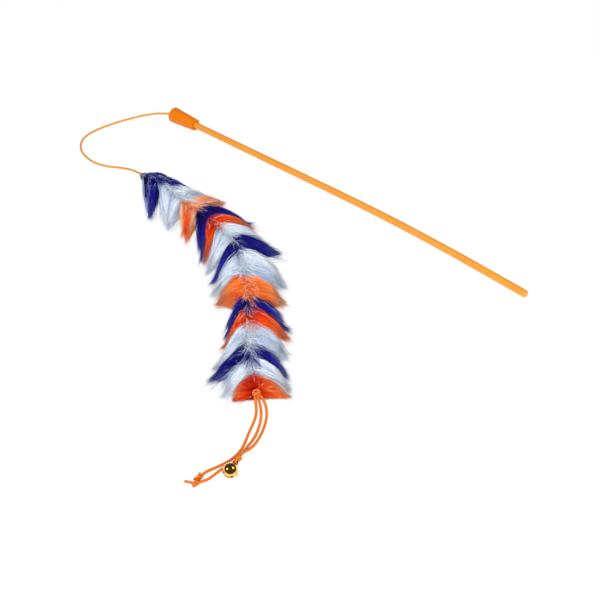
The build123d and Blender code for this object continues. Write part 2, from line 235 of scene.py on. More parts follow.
rodPlastic = plasticMaterial("extrudedOrangePlastic", "#c88022", "#ce862a", 0.3)
ferrulePlastic = plasticMaterial("mouldedOrangePlastic", "#c86600", "#ce6c00", 0.15)
orangeCord = cordMaterial("orangeBraidedCord", "#8a3600", "#cc6a06")
amberCord = cordMaterial("amberBraidedCord", "#98540a", "#d88c1c")
# Pale pink cord for the root knot's arch: its paleness is a painted highlight on the knot
paleHighlightCord = cordMaterial("paleHighlightBraidedCord", "#a83820", "#d4644c")
furDyes = {
    "navy": furMaterial(
        "navyFauxFur",
        [(0.0, "#0a0830"), (0.3, "#171379"), (0.7, "#241fa6"), (1.0, "#6872cc")],
        [(0.0, "#4c4c84"), (1.0, "#ffffff")], "#b4c0e0",
    ),
    "white": furMaterial(
        "whiteFauxFur",
        [(0.0, "#bcc6d4"), (0.3, "#dae1ea"), (0.7, "#ecf0f6"), (1.0, "#ffffff")],
        [(0.0, "#a8bed8"), (0.45, "#eef2f8"), (1.0, "#ffffff")], "#ffffff",
    ),
    "paleOrange": furMaterial(
        "paleOrangeFauxFur",
        [(0.0, "#ec6430"), (0.3, "#ff8c34"), (0.7, "#ffa04e"), (1.0, "#ffdabc")],
        [(0.0, "#e0987c"), (1.0, "#ffffff")], "#ffe8da",
    ),
    "paleRootOrange": furMaterial(
        "paleRootOrangeFauxFur",
        [(0.0, "#ecc8b4"), (0.35, "#f8bc98"), (0.6, "#ff9450"), (0.85, "#ff741c"), (1.0, "#ffa468")],
        [(0.0, "#e4a894"), (1.0, "#ffffff")], "#ffd0a8",
    ),
    # A darker, redder copy of the orange fur: painted shade for the bands that lie in shadow
    "shadedRedOrange": furMaterial(
        "shadedRedOrangeFauxFur",
        [(0.0, "#b01c02"), (0.35, "#fa5006"), (0.7, "#ff7420"), (1.0, "#ffb080")],
        [(0.0, "#c86858"), (1.0, "#ffffff")], "#ffdcc8",
    ),
    # Fur of the tail's end face: its dark red is painted shade on the orange pile, and its tones run from
    # painted shade to painted light
    "shadedFanRed": furMaterial(
        "shadedRedFauxFur",
        [(0.0, "#5c0200"), (0.25, "#a81000"), (0.6, "#e4560a"), (1.0, "#f8a868")],
        [(0.0, "#b01006"), (0.35, "#d83a1c"), (0.6, "#fcb888"), (0.85, "#fff4dc")], "#ffdcc8",
    ),
}
goldPlate = metalMaterial("polishedGoldPlate", "#dcae58", "#cc9c46", (0.03, 0.07))
steelBall = metalMaterial("plainSteel", "#c9ccd0", "#9a9da2", (0.25, 0.4))
knitBacking = knitMaterial()
print("materials made")


# Camera at the photograph's viewing angle: 45 degrees down, aimed at a point of the floor
viewTarget = layoutOrigin + np.array([255.925, -113.421, 0.0]) * mm
viewOffset = np.array([277.67, -334.68, 434.87]) * mm
camera = bpy.data.objects.new("photoCamera", bpy.data.cameras.new("photoCamera"))
camera.data.lens = 48.0
camera.data.sensor_width = 36.0
camera.data.clip_start = 0.01
camera.location = viewTarget + viewOffset
camera.rotation_euler = Vector((-viewOffset).tolist()).to_track_quat("-Z", "Y").to_euler()
scene.collection.objects.link(camera)
scene.camera = camera


# Rod, ferrule, bell and backing keep their CAD shapes
for nodeName, material in {
    "wand_rod": rodPlastic, "tip_ferrule": ferrulePlastic, "bell_upper_shell": goldPlate,
    "bell_lower_shell": goldPlate, "bell_eye": goldPlate, "bell_pellet": steelBall, "fur_backing": knitBacking,
}.items():
    nodes[nodeName].data.materials.clear()
    nodes[nodeName].data.materials.append(material)


# Cords: a NURBS spline on the route's points, and a round tube along it
def splinePoints(points):
    curve = bpy.data.curves.new("route", "CURVE")
    curve.dimensions = "3D"
    curve.resolution_u = 20
    spline = curve.splines.new("NURBS")
    spline.points.add(len(points) - 1)
    spline.points.foreach_set("co", np.column_stack([points, np.ones(len(points))]).ravel())
    spline.order_u = 3
    spline.use_endpoint_u = True
    holder = bpy.data.objects.new("route", curve)
    scene.collection.objects.link(holder)
    bpy.context.view_layer.update()
    line = bpy.data.meshes.new_from_object(holder)
    found = np.empty(len(line.vertices) * 3, np.float32)
    line.vertices.foreach_get("co", found)
    bpy.data.objects.remove(holder)
    bpy.data.curves.remove(curve)
    bpy.data.meshes.remove(line)
    return found.reshape(-1, 3).astype(float)


def tubeAlong(name, strands, sides=20):
    # Point = path(l) + radius (cos a side + sin a lift), with side level and lift square to it and to the path.
    # Each end is rounded: radius cos(b) at radius sin(b) past it
    bulge = np.radians([22, 44, 64, 82])
    angle = np.linspace(0, math.tau, sides, endpoint=False)
    allPoints, allWalls, allCaps, wallUv, capUv = [], [], [], [], []
    total = 0
    for path, radius in strands:
        first, last = unit(path[0] - path[1]), unit(path[-1] - path[-2])
        before = path[0] + np.outer(np.sin(bulge[::-1]) * radius, first)
        beyond = path[-1] + np.outer(np.sin(bulge) * radius, last)
        path = np.vstack([before, path, beyond])
        tangent = np.gradient(path, axis=0)
        tangent /= np.linalg.norm(tangent, axis=1, keepdims=True)
        side = np.cross(tangent, upward + 0.01)
        side /= np.linalg.norm(side, axis=1, keepdims=True)
        lift = np.cross(side, tangent)
        count = len(path)
        swell = np.concatenate([np.cos(bulge[::-1]), np.ones(count - 2 * len(bulge)), np.cos(bulge)])
        spoke = np.cos(angle)[None, :, None] * side[:, None] + np.sin(angle)[None, :, None] * lift[:, None]
        points = path[:, None] + radius * swell[:, None, None] * spoke
        steps = np.linalg.norm(np.diff(path, axis=0), axis=1)
        along = np.concatenate([[0], np.cumsum(steps)]) / (braidPitch * mm)
        ring, spot = np.meshgrid(np.arange(count - 1), np.arange(sides), indexing="ij")
        after = (spot + 1) % sides
        here, ahead = ring * sides, (ring + 1) * sides
        walls = np.stack([here + spot, ahead + spot, ahead + after, here + after], -1)
        caps = np.array([np.arange(sides), (count - 1) * sides + np.arange(sides)[::-1]])
        allPoints.append(points.reshape(-1, 3))
        allWalls.append(walls.reshape(-1, 4) + total)
        allCaps.append(caps + total)
        wallUv.append(np.stack([
            np.stack([along[ring], along[ring + 1], along[ring + 1], along[ring]], -1),
            np.stack([spot, spot, spot + 1, spot + 1], -1) / sides,
        ], -1).reshape(-1, 2))
        capUv.append(np.stack([np.repeat(along[[0, -1]], sides), np.tile(np.arange(sides) / sides, 2)], -1))
        total += count * sides
    faces = [np.vstack(allWalls), np.vstack(allCaps)]
    return newMesh(name, np.vstack(allPoints), faces, np.vstack(wallUv + capUv))


leadLine = {
    "radius": 0.95, "start": jointPlace["line_swing"], "end": tailStart,
    "route": [
        (-13, -6, 6.7), (-23.5, -16, 5.2), (-31.5, -27, 3.6), (-38.5, -38.5, 2.2), (-43.5, -51.5, 1.4),
        (-46, -64.5, 1.1), (-45, -76, 1), (-39.5, -85, 1), (-31.5, -91.5, 1), (-22, -95.5, 1),
        (-11, -97.5, 1.1), (0.5, -97, 1.4), (11, -94, 2), (21, -90.5, 3.6), (31, -88.5, 5.8), (41, -88, 8),
    ],
}
lineRoute = layoutOrigin + np.array(leadLine["route"]) * mm
linePath = splinePoints(np.vstack([leadLine["start"], lineRoute, leadLine["end"]]))
lineMesh = tubeAlong("leadLine", [(linePath, leadLine["radius"] * mm)])
lineTube = addPiece("leadLine", lineMesh, amberCord, "line", ["lead_line"])

# Streamer routes are measured from the root knot's place on the floor. Each leaves the knot at its heading
streamers = {
    "leftStreamer": {
        "node": "left_streamer", "heading": -62.0,
        "route": [
            (6.3, -7.2, 6.4), (9.3, -11.2, 3.8), (11, -15.6, 2), (12.5, -20.4, 1.2), (14.4, -25.2, 1),
            (16.7, -30.2, 1), (18.5, -35.4, 1), (19.2, -40.8, 1), (18.6, -46.4, 1), (17.2, -51.4, 1),
            (15.3, -56.2, 1), (13.8, -60.2, 1.3), (13.2, -63, 2), (13, -65.5, 2),
        ],
    },
    "middleStreamer": {
        "node": "middle_streamer", "heading": -32.0,
        "route": [
            (8.4, -5.2, 6.8), (12.2, -9, 4.6), (15, -13.4, 2.6), (17, -18.2, 1.3), (18.8, -23.2, 1),
            (19.9, -28.4, 1.2), (20.7, -33.6, 1.9), (21.5, -39, 1.6), (21.6, -44.6, 1), (20.5, -50.2, 1),
            (18.9, -55.2, 1), (18.4, -60.4, 1), (17.9, -65.2, 1.3), (16.9, -68.6, 2), (15.4, -70.9, 2),
        ],
    },
    "bellStreamer": {
        "node": "bell_streamer", "heading": -2.0,
        "route": [
            (8, -1, 7.8), (11.4, -2.9, 5.6), (14.4, -6, 3.4), (16.8, -9.9, 1.8), (18.8, -14.2, 1.1),
            (20.6, -18.9, 1), (22, -23.8, 1), (22.9, -28.6, 1.3), (23.2, -32.6, 2.4), (23.1, -36.2, 4),
            (22.9, -39.4, 5.34), (23.6, -42.6, 5.34),
        ],
    },
}
streamerRadius = 0.95
streamerStart = 4.11
rootFloor = rootPlace * [1, 1, 0]
for name, streamer in streamers.items():
    heading = math.radians(streamer["heading"])
    leaving = rootPlace + streamerStart * mm * np.array([math.cos(heading), math.sin(heading), 0])
    streamer["path"] = splinePoints(np.vstack([leaving, rootFloor + np.array(streamer["route"]) * mm]))
    mesh = tubeAlong(name, [(streamer["path"], streamerRadius * mm)])
    streamer["tube"] = addPiece(name, mesh, orangeCord, "streamers", [streamer["node"]])
print("cords laid")


# Knots: wraps of cord, and the cord that goes through them. Sizes are in mm, and wrap and cord are radii
def wrapPath(centre, axis, across, knot):
    # Helix: ring (cos a, sin a) across the axis, and a pitch along it each turn
    angle = np.linspace(0, math.tau * knot["turns"], int(40 * knot["turns"]))
    beside = np.cross(axis, across)
    rise = (angle / math.tau - knot["turns"] / 2) * (knot["pitch"] * mm)
    spoke = np.outer(np.cos(angle), across) + np.outer(np.sin(angle), beside)
    return centre + np.outer(rise, axis) + knot["ring"] * mm * spoke


def floorTurn(vector, degrees):
    turn = math.radians(degrees)
    east, north = vector[:2]
    turnedEast = east * math.cos(turn) - north * math.sin(turn)
    turnedNorth = east * math.sin(turn) + north * math.cos(turn)
    return np.array([turnedEast, turnedNorth, 0])


knotPieces = {}
endKnot = {"ahead": 2.2, "lean": 0.45, "ring": 1.15, "pitch": 1.7, "turns": 2.3, "wrap": 0.8, "cord": 0.9}
cutEnds = {
    "leftStreamer": {"node": "left_end_knot", "turn": -30.0, "stub": 3.6},
    "middleStreamer": {"node": "middle_end_knot", "turn": -34.0, "stub": 7.2},
}
for name, cut in cutEnds.items():
    path = streamers[name]["path"]
    along = unit(path[-1] - path[-4])
    centre = path[-1] + along * endKnot["ahead"] * mm
    cutEnd = centre + floorTurn(along, cut["turn"]) * cut["stub"] * mm
    cutEnd[2] = streamerRadius * mm
    through = splinePoints(np.vstack([path[-1], centre, centre * 0.6 + cutEnd * 0.4, cutEnd]))
    leaning = unit(along + endKnot["lean"] * np.cross(upward, along))
    wraps = wrapPath(centre, leaning, unit(np.cross(leaning, upward)), endKnot)
    mesh = tubeAlong(name + "EndKnot", [(through, endKnot["cord"] * mm), (wraps, endKnot["wrap"] * mm)])
    knotPieces[name] = addPiece(name + "EndKnot", mesh, orangeCord, "streamers", [cut["node"]])

bellKnot = {"ahead": 1.4, "lean": 0.3, "ring": 1.15, "pitch": 1.6, "turns": 2.2, "wrap": 0.85}
bellLoop = {"ahead": 3.74, "ring": 1.6, "pitch": 0.0, "turns": 1.0, "wrap": 0.75}
bellEnd = streamers["bellStreamer"]["path"]
bellAlong = unit(bellEnd[-1] - bellEnd[-4])
bellLean = unit(bellAlong + bellKnot["lean"] * upward)
knotCentre = bellEnd[-1] + bellAlong * bellKnot["ahead"] * mm
loopCentre = bellEnd[-1] + bellAlong * bellLoop["ahead"] * mm
bellWraps = wrapPath(knotCentre, bellLean, unit(np.cross(bellAlong, upward)), bellKnot)
loopPath = wrapPath(loopCentre, unit(np.cross(upward, bellAlong)), -bellAlong, bellLoop)
mesh = tubeAlong("bellKnotBraid", [(bellWraps, bellKnot["wrap"] * mm), (loopPath, bellLoop["wrap"] * mm)])
knotPieces["bellStreamer"] = addPiece(
    "bellKnotBraid", mesh, orangeCord, "streamers", ["bell_knot"],
)

# The root knot has a small arch of cord over it, which opens downward: half is its half angle in degrees
rootKnot = {"ring": 1.5, "pitch": 1.7, "turns": 2.4, "wrap": 1.1}
rootArch = {
    "ahead": 1.0, "lean": 0.7, "half": 112, "ring": 2.4, "pitch": 0.0, "turns": 224 / 360, "wrap": 0.6,
}
tailEnd = math.radians(tail["heading"] + tail["turn"])
tailAway = np.array([math.cos(tailEnd), math.sin(tailEnd), 0])
rootWraps = wrapPath(rootPlace, upward, tailAway, rootKnot)
rootMesh = tubeAlong("rootKnotWraps", [(rootWraps, rootKnot["wrap"] * mm)])
addPiece("rootKnotWraps", rootMesh, orangeCord, "tail", ["root_knot"])
archFacing = unit(tailAway + rootArch["lean"] * upward)
archTop = unit(upward - archFacing * (upward @ archFacing))
archHalf = math.radians(rootArch["half"])
archStart = math.cos(archHalf) * archTop - math.sin(archHalf) * np.cross(archFacing, archTop)
archCentre = rootPlace + (tailAway + upward) * rootArch["ahead"] * mm
archPath = wrapPath(archCentre, archFacing, archStart, rootArch)
archMesh = tubeAlong("rootKnotLoop", [(archPath, rootArch["wrap"] * mm)])
# The arch's pale pink colour is a painted highlight on the root knot
addPiece("rootKnotLoop", archMesh, paleHighlightCord, "tail", ["root_knot"])

for name, streamer in streamers.items():
    onIt = [knotPieces[name]]
    if name == "bellStreamer":
        onIt += [nodes[node] for node in ("bell_upper_shell", "bell_lower_shell", "bell_eye", "bell_pellet")]

hiddenKnot = {"inset": 2.4, "ring": 1.0, "pitch": 1.5, "turns": 2.6, "wrap": 0.95, "cord": 0.9}
for node, body in (("line_stop_knot", "wand"), ("tail_tie_knot", "tail")):
    low, high = (np.array(corner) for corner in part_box(node))
    middle = (low + high) / 2
    centre = np.array([high[0] - hiddenKnot["inset"] * mm, middle[1], middle[2]])
    wraps = wrapPath(centre, np.array([1.0, 0, 0]), upward, hiddenKnot)
    through = np.linspace([low[0] + hiddenKnot["cord"] * mm, *centre[1:]], centre, 12)
    mesh = tubeAlong(node + "Braid", [(wraps, hiddenKnot["wrap"] * mm), (through, hiddenKnot["cord"] * mm)])
    addPiece(node + "Braid", mesh, orangeCord, body, [node])
print("knots tied")


# Tail path: heading h(s) turns evenly over the bend, and the place is the integral of (cos h, sin h)
tailRun = np.linspace(-20.0, 310.0, 3301)
bendShare = np.clip((tailRun - tail["bendStart"]) / tail["bendLength"], 0, 1)
tailHeading = np.radians(tail["heading"] + tail["turn"] * bendShare)
tailStep = tailRun[1] - tailRun[0]
tailEast = np.cumsum(np.cos(tailHeading)) * tailStep
tailNorth = np.cumsum(np.sin(tailHeading)) * tailStep
tailEast -= np.interp(0.0, tailRun, tailEast)
tailNorth -= np.interp(0.0, tailRun, tailNorth)


def tailPoint(along, lateral, height):
    # Place of a point given in mm along the tail, across it towards the rod, and above the floor
    heading = np.interp(along, tailRun, tailHeading)
    east = np.interp(along, tailRun, tailEast) - np.sin(heading) * lateral
    north = np.interp(along, tailRun, tailNorth) + np.cos(heading) * lateral
    return np.stack([east, north, height], -1) * mm + tailStart * [1, 1, 0]


core = {"first": 4.0, "last": 279.0, "points": 140, "height": 10.0, "radius": 1.0}
coreRun = np.linspace(core["first"], core["last"], core["points"])
corePath = tailPoint(coreRun, np.zeros_like(coreRun), np.full_like(coreRun, core["height"]))
coreMesh = tubeAlong("coreCord", [(corePath, core["radius"] * mm)], 12)
addPiece("coreCord", coreMesh, orangeCord, "tail", ["core_cord"])

# Fur: strands rooted along the tail's core, parted on the ridge, that gather into tufts along both edges.
# roots is the stretch of the core a dyed band grows from, and each tip is (along, across) of its tuft, in mm.
# rodRoots are the roots on the rod's side, former stands in for the tufts of the band before, mixed spreads
# the roots, and rodNotch fills the gap before a tuft. guard and ridge are the shares of pale hairs and of short
# hairs on the ridge, and the stretch is pale before its share paleUntil and after paleAfter or outerPaleAfter
furBands = [
    {"dye": "navy", "roots": (5, 35), "rodRoots": (5, 46), "rodTip": (52, 23), "outerTip": (47, 25),
     "guard": 0.06, "ridge": 0.3, "paleUntil": 0.13, "former": {"rodTip": (12, 16), "outerTip": (27, 22)}},
    {"dye": "white", "roots": (35, 70), "rodRoots": (46, 75), "rodTip": (64, 27), "outerTip": (70, 22),
     "mixed": 1.8},
    {"dye": "paleRootOrange", "roots": (70, 88), "rodRoots": (75, 88), "rodTip": (77, 33),
     "outerTip": (95, 23), "mixed": 2.2, "paleUntil": 0.16, "paleAfter": 0.68, "outerPaleAfter": 0.9},
    {"dye": "navy", "roots": (88, 104), "rodRoots": (87, 103), "rodTip": (111, 31), "outerTip": (128, 26),
     "guard": 0.015},
    {"dye": "shadedRedOrange", "roots": (104, 117), "rodRoots": (103, 116), "rodTip": (114, 31),
     "outerTip": (130, 25), "mixed": 1.8},
    {"dye": "white", "roots": (117, 140), "rodRoots": (116, 134), "rodTip": (140, 30), "outerTip": (146, 27),
     "mixed": 2.0},
    {"dye": "navy", "roots": (140, 154), "rodRoots": (134, 151), "rodTip": (148, 34), "outerTip": (163, 28),
     "guard": 0.02, "rodNotch": 1.1, "former": {"rodTip": (134, 33), "outerTip": (150, 24)}},
    {"dye": "white", "roots": (154, 181), "rodRoots": (151, 181), "rodTip": (181, 28), "outerTip": (178, 28),
     "mixed": 2.0},
    {"dye": "paleOrange", "roots": (181, 206), "rodTip": (196, 24), "outerTip": (191, 27), "mixed": 2.2},
    {"dye": "navy", "roots": (206, 218), "rodTip": (224, 27), "outerTip": (229, 21),
     "guard": 0.1, "mixed": 2.2},
    {"dye": "shadedRedOrange", "roots": (218, 234), "rodTip": (230, 25), "outerTip": (237, 23), "mixed": 3.6},
    {"dye": "white", "roots": (233, 252), "rodTip": (250, 24), "outerTip": (256, 28), "mixed": 3.0},
    {"dye": "navy", "roots": (251, 267), "rodRoots": (251, 266), "rodTip": (268, 23), "outerTip": (267, 32),
     "guard": 0.2, "ridge": 0.2},
    {"dye": "white", "roots": (266, 277), "rodRoots": (265, 277), "rodTip": (278, 24), "outerTip": (282, 24),
     "guard": 0.0, "ridge": 0.0},
    {"dye": "shadedFanRed", "roots": (274, 281), "rodTip": (286, 25), "outerTip": (285, 17.5)},
]
headTips = {"rodTip": (8, 8), "outerTip": (10, 3)}
outlines = {key: np.array([band[key] for band in [headTips, *furBands]]).T for key in headTips}
strandRun = np.array([0.0, 0.16, 0.42, 0.72, 1.0])
# Radii at a strand's rings, in mm: many times a real fibre's, so that strands show
strandRadius = np.array([0.11, 0.16, 0.17, 0.12])
# Locks of strands: their width in mm and layers, and how far one differs from the next
lock = {
    "width": 2.4, "layers": 4, "pale": 0.07, "paleHairs": 0.5, "along": 2.0, "size": (0.99, 0.08),
    "lift": 0.7, "pull": (0.35, 1.0), "tone": (0.0, 1.0), "closing": (0.5, 0.95),
}
# Pile of every band: shares of its kinds of hair, ranges of their sizes, and heights in mm
pile = {
    "perMm": 250, "rodShare": 0.54, "guard": 0.03, "ridge": 0.12, "guardRidge": 0.6, "loose": 0.14,
    "flyaway": 0.14, "paleBorder": 0.8, "mixed": 1.5, "notch": 0.9, "whiteNotch": 1.05, "notchLayers": 0.25,
    "shortSize": (0.45, 0.95), "fullSize": (0.8, 1.07), "looseSize": (0.9, 1.12), "flyawaySize": (1.0, 1.2),
    "edgePower": 1.6, "tipAlong": 0.9, "looseAlong": (0, 2.4), "flyawayAlong": (1.5, 3.5),
    "toneSpread": 0.3, "topTone": 0.999,
    "ridgeAcross": (0.05, 0.4), "ridgeAhead": (7, 16), "guardSlim": 0.7, "flyawaySlim": 0.55,
    "lowest": 0.35, "under": 0.6, "eaves": 1.5, "rootHeight": 6.5, "rootLayers": 7.0,
}
# A strand's arc: the share of its run before it bows out, the powers of its curves, and its stray and swing
# in mm
arc = {
    "upright": 0.13, "bowPower": 0.95, "alongPower": 1.2, "reachPower": 1.8, "roofPower": 0.85,
    "lowLayer": 0.12, "rise": 0.2, "stray": 1.6, "strayRun": 18, "leastStray": 0.25, "looseLift": 1.0,
    "swing": 0.45, "waves": 0.7,
}
crestAlong = [0, 8, 16, 26, 290]
crestHeight = [10.0, 14.0, 20.0, 25.0, 25.0]
# The parting lies on the side away from the rod
partAlong = [0, 40, 70, 115, 135, 155, 180, 205, 252, 282]
partAcross = [-1.0, -3.0, -5.0, -5.0, -1.0, -1.0, -4.5, -2.5, -4.0, -1.0]


def smoothStep(value):
    share = np.clip(value, 0, 1)
    return share * share * (3 - 2 * share)


def bySide(rodSide, rodPair, outerPair):
    return np.where(rodSide, np.array(rodPair)[:, None], np.array(outerPair)[:, None])


def strandEnds(band, before, rng):
    # Root and tip of each strand, in mm along the tail and across it. Strands of one lock end close together,
    # and locks lean towards their tuft's tip
    rodRoots = band.get("rodRoots", band["roots"])
    stretch = sum(last - first for first, last in (band["roots"], rodRoots)) / 2
    count = int(stretch * pile["perMm"])
    rodSide = rng.random(count) < pile["rodShare"]
    first, last = bySide(rodSide, rodRoots, band["roots"])
    share = rng.random(count)
    layer = rng.random(count) ** 0.6
    guard = rng.random(count) < band.get("guard", pile["guard"])
    layers = lock["layers"]
    slices = max(5, int((band["roots"][1] - band["roots"][0]) / lock["width"]))
    cell = np.floor(share * slices) + slices * np.floor(layer * layers * 0.999) + slices * layers * rodSide
    cell = cell.astype(int)
    locks = slices * layers * 2
    lockShare = (np.arange(locks) % slices + 0.5) / slices
    lockAlong = rng.normal(0, lock["along"], locks)
    lockSize = rng.normal(*lock["size"], locks)
    lockLift = rng.normal(0, lock["lift"], locks)
    lockPull = rng.uniform(*lock["pull"], locks)
    lockTone = rng.uniform(*lock["tone"], locks)
    paleLock = rng.random(locks) < lock["pale"]
    tipAlong, tipAcross = bySide(rodSide, band["rodTip"], band["outerTip"])
    formerAlong, formerAcross = bySide(rodSide, before["rodTip"], before["outerTip"])
    fullness = np.where(rodSide, band.get("rodNotch", pile["notch"]), pile["notch"])
    if band["dye"] == "white":
        fullness = pile["whiteNotch"]
    notch = (fullness - pile["notchLayers"] * layer) * np.minimum(formerAcross, tipAcross)
    ended = share + (lockShare[cell] - share) * rng.uniform(*lock["closing"], count)
    gathered = 1 - (1 - ended) * (1 - lockPull[cell])
    endAlong = formerAlong + (tipAlong - formerAlong) * gathered
    edge = notch + (tipAcross - notch) * gathered ** pile["edgePower"]
    rootAlong = first + share * (last - first) + rng.normal(0, band.get("mixed", pile["mixed"]), count)
    short = rng.random(count) < 0.5 - 0.3 * layer
    size = np.where(short, rng.uniform(*pile["shortSize"], count), rng.uniform(*pile["fullSize"], count))
    size *= lockSize[cell]
    endAlong += (lockAlong[cell] + rng.normal(0, pile["tipAlong"], count)) * (1.3 - gathered)
    kinds = {}
    for kind in ("loose", "flyaway"):
        kinds[kind] = rng.random(count) < pile[kind]
        size[kinds[kind]] *= rng.uniform(*pile[kind + "Size"], kinds[kind].sum())
        endAlong[kinds[kind]] += rng.normal(*pile[kind + "Along"], kinds[kind].sum())
    endAlong = rootAlong + (endAlong - rootAlong) * size
    across = edge * size
    ridge = rng.random(count) < np.where(guard, pile["guardRidge"], band.get("ridge", pile["ridge"]))
    across[ridge] *= rng.uniform(*pile["ridgeAcross"], ridge.sum())
    endAlong[ridge] = rootAlong[ridge] + rng.uniform(*pile["ridgeAhead"], ridge.sum())
    return {
        "rodSide": rodSide, "share": share, "layer": layer, "guard": guard, **kinds,
        "rootAlong": rootAlong, "endAlong": endAlong, "across": across,
        "lift": lockLift[cell], "tone": lockTone[cell], "paleLock": paleLock[cell],
    }


def strandArcs(ends, rng):
    # Each strand rises from its root to the ridge, parts there and falls over the roof of the pile to its tip
    count = len(ends["share"])
    rodSide = ends["rodSide"][:, None]
    side = np.where(rodSide, 1.0, -1.0)
    layer = ends["layer"][:, None]
    run = strandRun[None, :]
    bow = np.clip((run - arc["upright"]) / (1 - arc["upright"]), 0, 1) ** arc["bowPower"]
    ahead = (ends["endAlong"] - ends["rootAlong"])[:, None]
    along = ends["rootAlong"][:, None] + ahead * run ** arc["alongPower"]
    stray = rng.normal(0, arc["stray"], count)[:, None] * np.clip(along / arc["strayRun"], arc["leastStray"], 1)
    part = np.interp(along, partAlong, partAcross) + stray
    wide = part * (1 - bow) + side * ends["across"][:, None] * bow
    rim = np.where(rodSide, np.interp(along, *outlines["rodTip"]), np.interp(along, *outlines["outerTip"]))
    reach = np.clip(side * (wide - part) / (rim - side * part), 0, 1)
    crest = np.interp(along, crestAlong, crestHeight)
    roof = pile["eaves"] + (crest - pile["eaves"]) * (1 - reach ** arc["reachPower"]) ** arc["roofPower"]
    settled = pile["under"] + (roof - pile["under"]) * (arc["lowLayer"] + (1 - arc["lowLayer"]) * layer)
    rooted = pile["rootHeight"] + pile["rootLayers"] * layer
    lift = ends["lift"] + ends["loose"] * rng.normal(0, arc["looseLift"], count)
    high = rooted + (settled - rooted) * smoothStep(run / arc["rise"]) + lift[:, None] * run
    swing = rng.normal(0, arc["swing"], (3, count, 1))
    wave = np.sin(math.tau * (arc["waves"] * run + rng.random(count)[:, None])) * smoothStep(run * 3)
    return along + swing[0] * wave, wide + swing[1] * wave, high + swing[2] * wave


def furStrands(band, before, rng):
    # Paths of a band's strands in mm along, across and up, and each one's tone, thickness and whether it's pale
    ends = strandEnds(band, before, rng)
    along, wide, high = strandArcs(ends, rng)
    count = len(along)
    tone = np.clip(ends["tone"] + rng.normal(0, pile["toneSpread"], count), 0, pile["topTone"])
    guard = ends["guard"] | (ends["paleLock"] & (rng.random(count) < lock["paleHairs"]))
    paleAfter = np.where(ends["rodSide"], band.get("paleAfter", 1), band.get("outerPaleAfter", 1))
    pale = (ends["share"] < band.get("paleUntil", 0)) | (ends["share"] > paleAfter)
    guard |= pale & (rng.random(count) < pile["paleBorder"])
    slim = np.where(guard, pile["guardSlim"], 1.0) * np.where(ends["flyaway"], pile["flyawaySlim"], 1.0)
    return along, wide, np.maximum(high, pile["lowest"]), guard, tone, slim


fan = {
    "count": 7000, "hem": 0.4, "hemHeight": (0.4, 1.6), "hemAlong": (283.5, 0.7), "hemPower": 1.3,
    "guard": 0.006, "height": 24.0, "size": (0.72, 1.05), "rodPower": 1.2, "outerPower": 1.9,
    "rootHeight": 10, "rootSpread": 1.5, "ahead": 3, "edgeAhead": 1.5, "aheadSpread": 0.9, "toneSpread": 0.18,
}


def fanStrands(band, rng):
    # The last band closes the tail's end: spokes from the core's end to a tent, whose straight hem lies on the
    # floor. The tent's edge is |x|^p + |z|^p = 1, pointed on the rod's side and round on the other
    count = fan["count"]
    first, last = band["roots"]
    hem = rng.random(count) < fan["hem"]
    turn = rng.uniform(0, math.pi, count)
    power = np.where(turn < math.pi / 2, fan["rodPower"], fan["outerPower"])
    tent = (np.abs(np.cos(turn)) ** power + np.sin(turn) ** power) ** (-1 / power)
    size = tent * rng.uniform(*fan["size"], count)
    sweep = np.where(hem, rng.uniform(-1, 1, count), np.cos(turn) * size)
    across = sweep * np.where(sweep > 0, band["rodTip"][1], band["outerTip"][1])
    hemTall = rng.uniform(*fan["hemHeight"], count)
    tall = np.where(hem, hemTall, pile["under"] + fan["height"] * np.sin(turn) * size)
    rootAlong = first + (last - first) * rng.random(count)
    hemAlong = rng.normal(*fan["hemAlong"], count)
    domeAlong = rootAlong + fan["ahead"] + fan["edgeAhead"] * np.abs(sweep)
    endAlong = np.where(hem, hemAlong, domeAlong + rng.normal(0, fan["aheadSpread"], count))
    rootAcross = rng.normal(0, fan["rootSpread"], count)
    rootTall = rng.normal(fan["rootHeight"], fan["rootSpread"], count)
    run = strandRun[None, :]
    wide = rootAcross[:, None] + (across - rootAcross)[:, None] * run
    high = rootTall[:, None] + (tall - rootTall)[:, None] * run ** np.where(hem, fan["hemPower"], 1.0)[:, None]
    along = rootAlong[:, None] + (endAlong - rootAlong)[:, None] * np.sin(run * math.pi / 2)
    # Painted shade and light: reddest and darkest near the middle, a little to the outer side of it, where the
    # end face lies in shade, and paler towards both edges as painted light
    paintedShadeToLight = 0.15 + 0.75 * np.abs(sweep + 0.25)
    tone = np.clip(paintedShadeToLight + rng.normal(0, fan["toneSpread"], count), 0, pile["topTone"])
    guard = rng.random(count) < fan["guard"]
    return along, wide, np.maximum(high, pile["lowest"]), guard, tone, np.ones(count)


